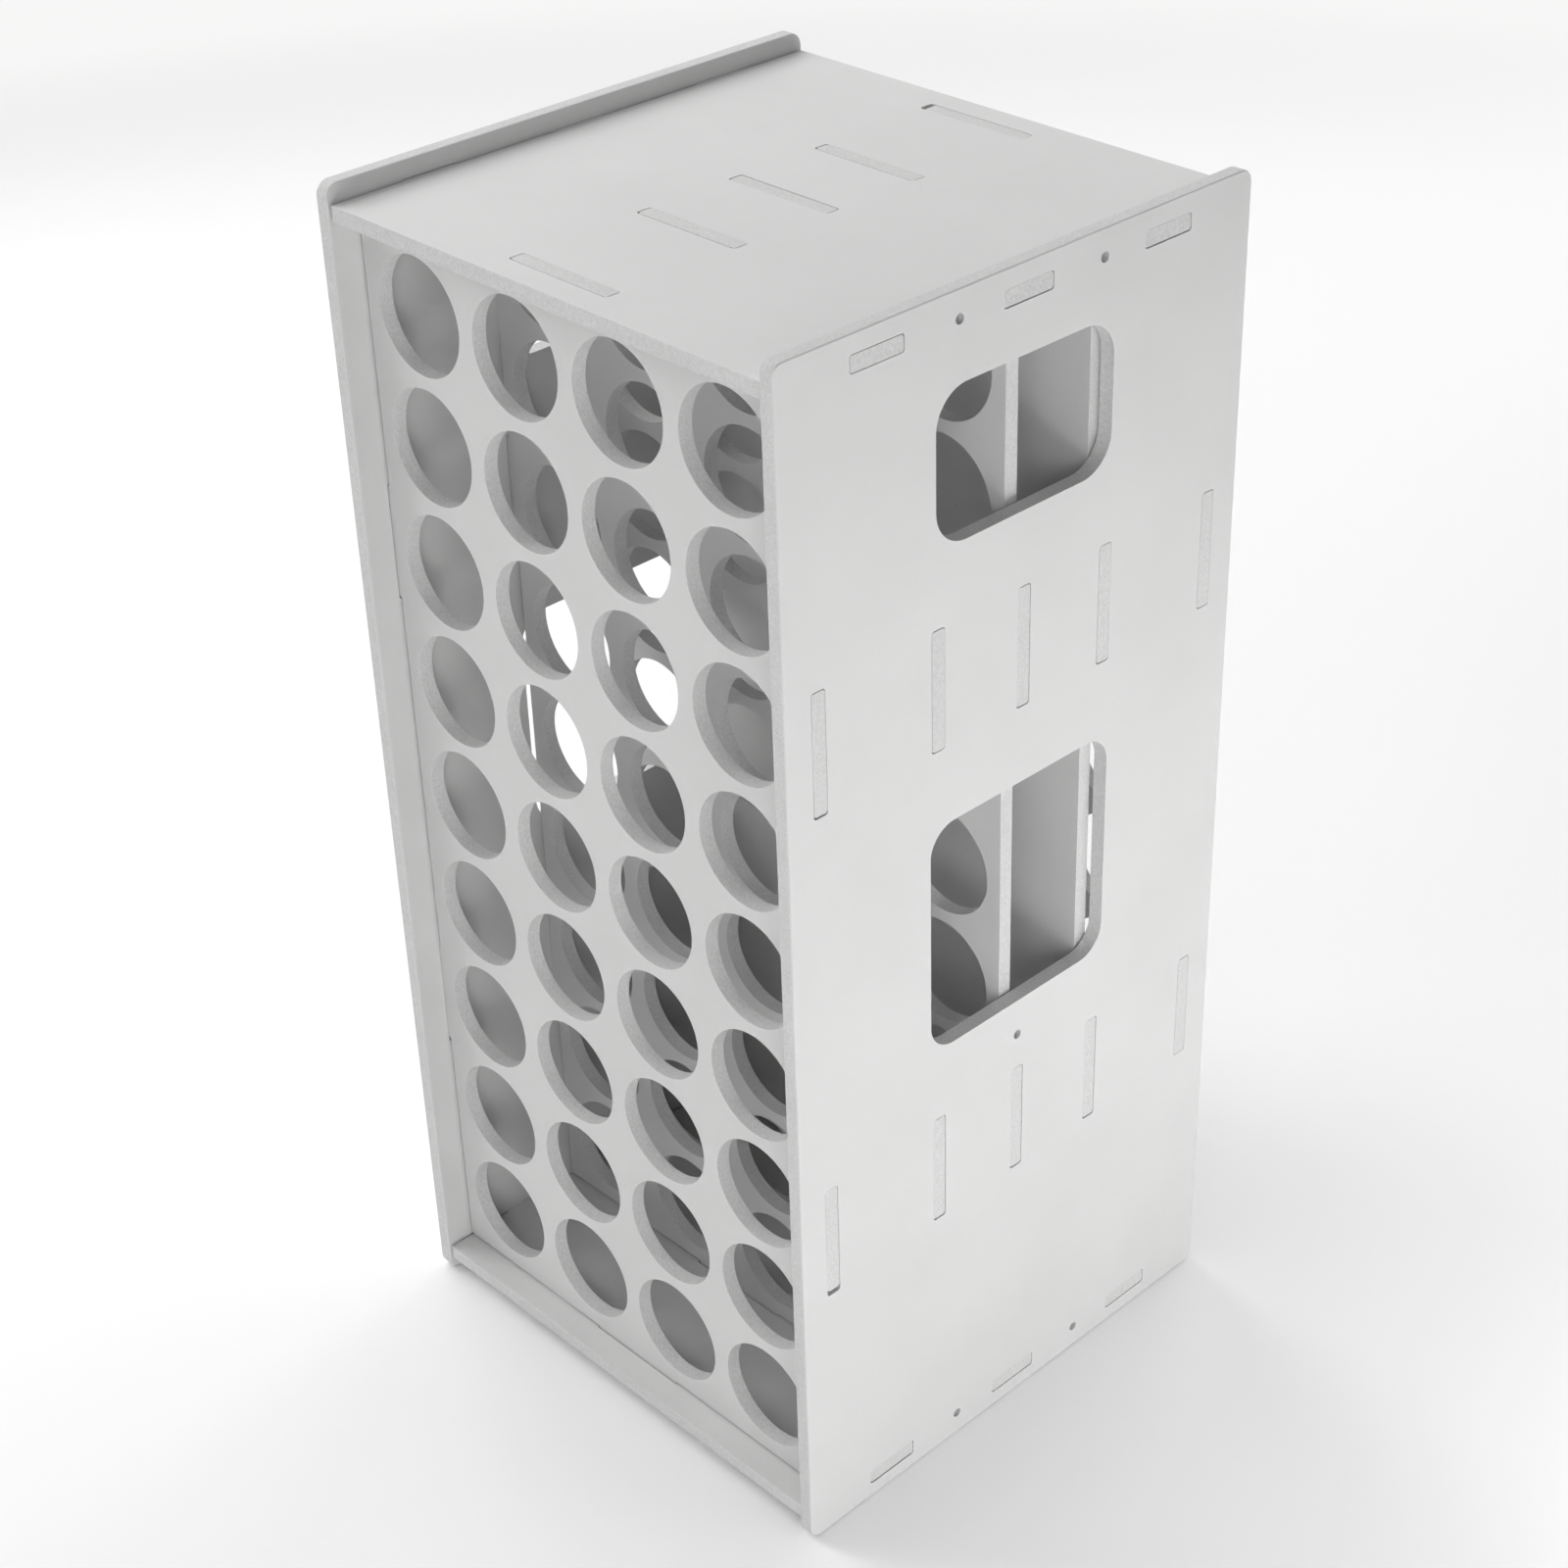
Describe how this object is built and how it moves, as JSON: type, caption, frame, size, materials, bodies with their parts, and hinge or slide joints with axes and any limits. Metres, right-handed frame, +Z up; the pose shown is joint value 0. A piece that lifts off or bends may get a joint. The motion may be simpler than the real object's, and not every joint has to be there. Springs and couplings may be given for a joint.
{
  "type": "paint rack organizer",
  "caption": "Free-standing flat-pack rack of slotted foam boards, with round holes that hold small paint bottles lying down and hand windows in both sides.",
  "frame": {"origin": "on the table under the middle of the rack, at the centre of the bounding box's lower face", "axes": "X is the width, +X to the right seen from the front; +Y points to the back, so the front hole board faces -Y; +Z is up"},
  "size_m": [0.189, 0.188, 0.405],
  "materials": {
    "side_panel_left": "smooth matte foamed plastic board with grainy sawn edges",
    "side_panel_right": "smooth matte foamed plastic board with grainy sawn edges",
    "top_board": "smooth matte foamed plastic board with grainy sawn edges",
    "bottom_board": "smooth matte foamed plastic board with grainy sawn edges",
    "front_hole_board": "smooth matte foamed plastic board, hole walls grainy from cutting",
    "second_hole_board": "smooth matte foamed plastic board, hole walls grainy from cutting",
    "middle_hole_board": "smooth matte foamed plastic board, hole walls grainy from cutting",
    "plain_stop_board": "smooth matte foamed plastic board with grainy sawn edges",
    "rear_hole_board": "smooth matte foamed plastic board, hole walls grainy from cutting"
  },
  "bodies": {
    "root": {"side_panel_left": "side_panel_left", "side_panel_right": "side_panel_right", "top_board": "top_board", "bottom_board": "bottom_board", "front_hole_board": "front_hole_board", "second_hole_board": "second_hole_board", "middle_hole_board": "middle_hole_board", "plain_stop_board": "plain_stop_board", "rear_hole_board": "rear_hole_board"}
  },
  "joints": []
}
